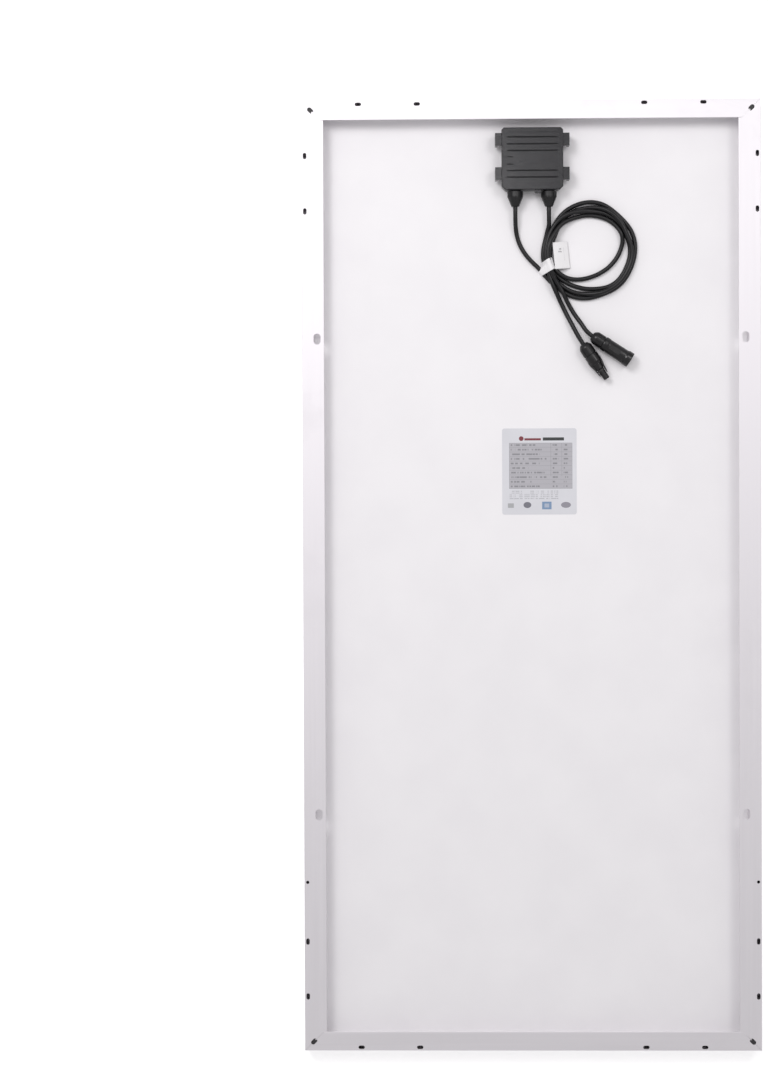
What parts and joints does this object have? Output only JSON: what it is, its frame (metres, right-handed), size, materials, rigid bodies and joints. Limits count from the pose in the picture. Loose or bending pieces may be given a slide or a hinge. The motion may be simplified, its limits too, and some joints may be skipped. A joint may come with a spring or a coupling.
{
  "type": "solar panel",
  "caption": "Framed rigid photovoltaic panel lying face down, with a rear junction box and coiled leads ending in locking connectors.",
  "frame": {"origin": "centre of the frame's front face, on the surface the panel lies on, glass down", "axes": "+Z out of the back; +Y along the long side, towards the junction box's end; +X along the short side"},
  "size_m": [0.58, 1.205, 0.03],
  "materials": {
    "anodised_frame": "satin clear-anodised extrusion",
    "black_nylon": "moulded",
    "silicone": "smooth bead",
    "panel_glass": "tempered, lightly textured",
    "encapsulant": "clear laminated film",
    "silicon_cell": "dark blue-black, fine silver lines",
    "tinned_copper": "dull tin",
    "white_backsheet": "satin white film",
    "label_film": "printed silver-grey film",
    "box_plastic": "fine-grained charcoal moulding",
    "diode_case": "moulded epoxy",
    "seal_rubber": "matt",
    "gland_plastic": "satin moulding",
    "connector_plastic": "satin moulding",
    "contact_metal": "tin plated",
    "cable_jacket": "semi-matt black jacket",
    "white_wrap": "matt coated film"
  },
  "bodies": {
    "panel": {"backsheet": "white_backsheet", "box_adhesive": "silicone", "box_base": "box_plastic", "bus_ribbons": "tinned_copper", "bypass_diodes": "diode_case", "cable_clamps": "tinned_copper", "cable_coil": "cable_jacket", "cable_tag": "white_wrap", "cable_tie": "white_wrap", "cell_ribbons": "tinned_copper", "clamp_screws": "tinned_copper", "corner_keys": "black_nylon", "edge_sealant": "silicone", "front_encapsulant": "encapsulant", "gland_cable_cores": "tinned_copper", "gland_cable_ends": "cable_jacket", "glass_pane": "panel_glass", "lead_cable_left": "cable_jacket", "lead_cable_right": "cable_jacket", "lid_gasket": "seal_rubber", "long_rail_left": "anodised_frame", "long_rail_right": "anodised_frame", "pin_cable_core": "tinned_copper", "pin_cable_end": "cable_jacket", "pin_connector_body": "connector_plastic", "pin_contact": "contact_metal", "probe_ring": "seal_rubber", "rating_label": "label_film", "rear_encapsulant": "encapsulant", "ribbon_tails": "tinned_copper", "short_rail_bottom": "anodised_frame", "short_rail_top": "anodised_frame", "socket_cable_core": "tinned_copper", "socket_cable_end": "cable_jacket", "socket_connector_body": "connector_plastic", "socket_contact": "contact_metal", "solar_cells": "silicon_cell", "tail_cable_left": "cable_jacket", "tail_cable_right": "cable_jacket", "terminals": "tinned_copper"},
    "lid": {"box_lid": "box_plastic", "lid_tab": "box_plastic"},
    "left_gland_seal": {"gland_seal_left": "seal_rubber"},
    "left_gland_nut": {"gland_nut_left": "gland_plastic"},
    "right_gland_seal": {"gland_seal_right": "seal_rubber"},
    "right_gland_nut": {"gland_nut_right": "gland_plastic"},
    "socket_seal": {"socket_connector_seal": "seal_rubber"},
    "socket_nut": {"socket_connector_nut": "connector_plastic"},
    "pin_seal": {"pin_connector_seal": "seal_rubber"},
    "pin_nut": {"pin_connector_nut": "connector_plastic"}
  },
  "joints": [
    {"name": "lid_lift", "type": "slide", "parent": "panel", "child": "lid", "axis": [0, 0, 1], "range_m": [0, 0.04]},
    {"name": "left_gland_seal_slide", "type": "slide", "parent": "panel", "child": "left_gland_seal", "axis": [0, -1, 0], "range_m": [0, 0.0076]},
    {"name": "left_gland_nut_turn", "type": "hinge", "parent": "left_gland_seal", "child": "left_gland_nut", "pos_m": [-0.0189, 0.4695, 0.0167], "axis": [0, -1, 0], "range_deg": [0, 1800]},
    {"name": "right_gland_seal_slide", "type": "slide", "parent": "panel", "child": "right_gland_seal", "axis": [0, -1, 0], "range_m": [0, 0.0076]},
    {"name": "right_gland_nut_turn", "type": "hinge", "parent": "right_gland_seal", "child": "right_gland_nut", "pos_m": [0.0237, 0.4695, 0.0167], "axis": [0, -1, 0], "range_deg": [0, 1800]},
    {"name": "socket_seal_slide", "type": "slide", "parent": "panel", "child": "socket_seal", "axis": [-0.5621, 0.8271, 0], "range_m": [0, 0.0021]},
    {"name": "socket_nut_turn", "type": "hinge", "parent": "socket_seal", "child": "socket_nut", "pos_m": [0.0669, 0.295, 0.0152], "axis": [-0.5621, 0.8271, 0], "range_deg": [0, 720]},
    {"name": "pin_seal_slide", "type": "slide", "parent": "panel", "child": "pin_seal", "axis": [-0.8387, 0.5446, 0], "range_m": [0, 0.0021]},
    {"name": "pin_nut_turn", "type": "hinge", "parent": "pin_seal", "child": "pin_nut", "pos_m": [0.0781, 0.3054, 0.0162], "axis": [-0.8387, 0.5446, 0], "range_deg": [0, 720]}
  ],
  "couplings": [
    {"joint": "left_gland_seal_slide", "follows": "left_gland_nut_turn", "m_per_rad": 0.00023873},
    {"joint": "right_gland_seal_slide", "follows": "right_gland_nut_turn", "m_per_rad": 0.00023873},
    {"joint": "socket_seal_slide", "follows": "socket_nut_turn", "m_per_rad": 0.00015915},
    {"joint": "pin_seal_slide", "follows": "pin_nut_turn", "m_per_rad": 0.00015915}
  ]
}
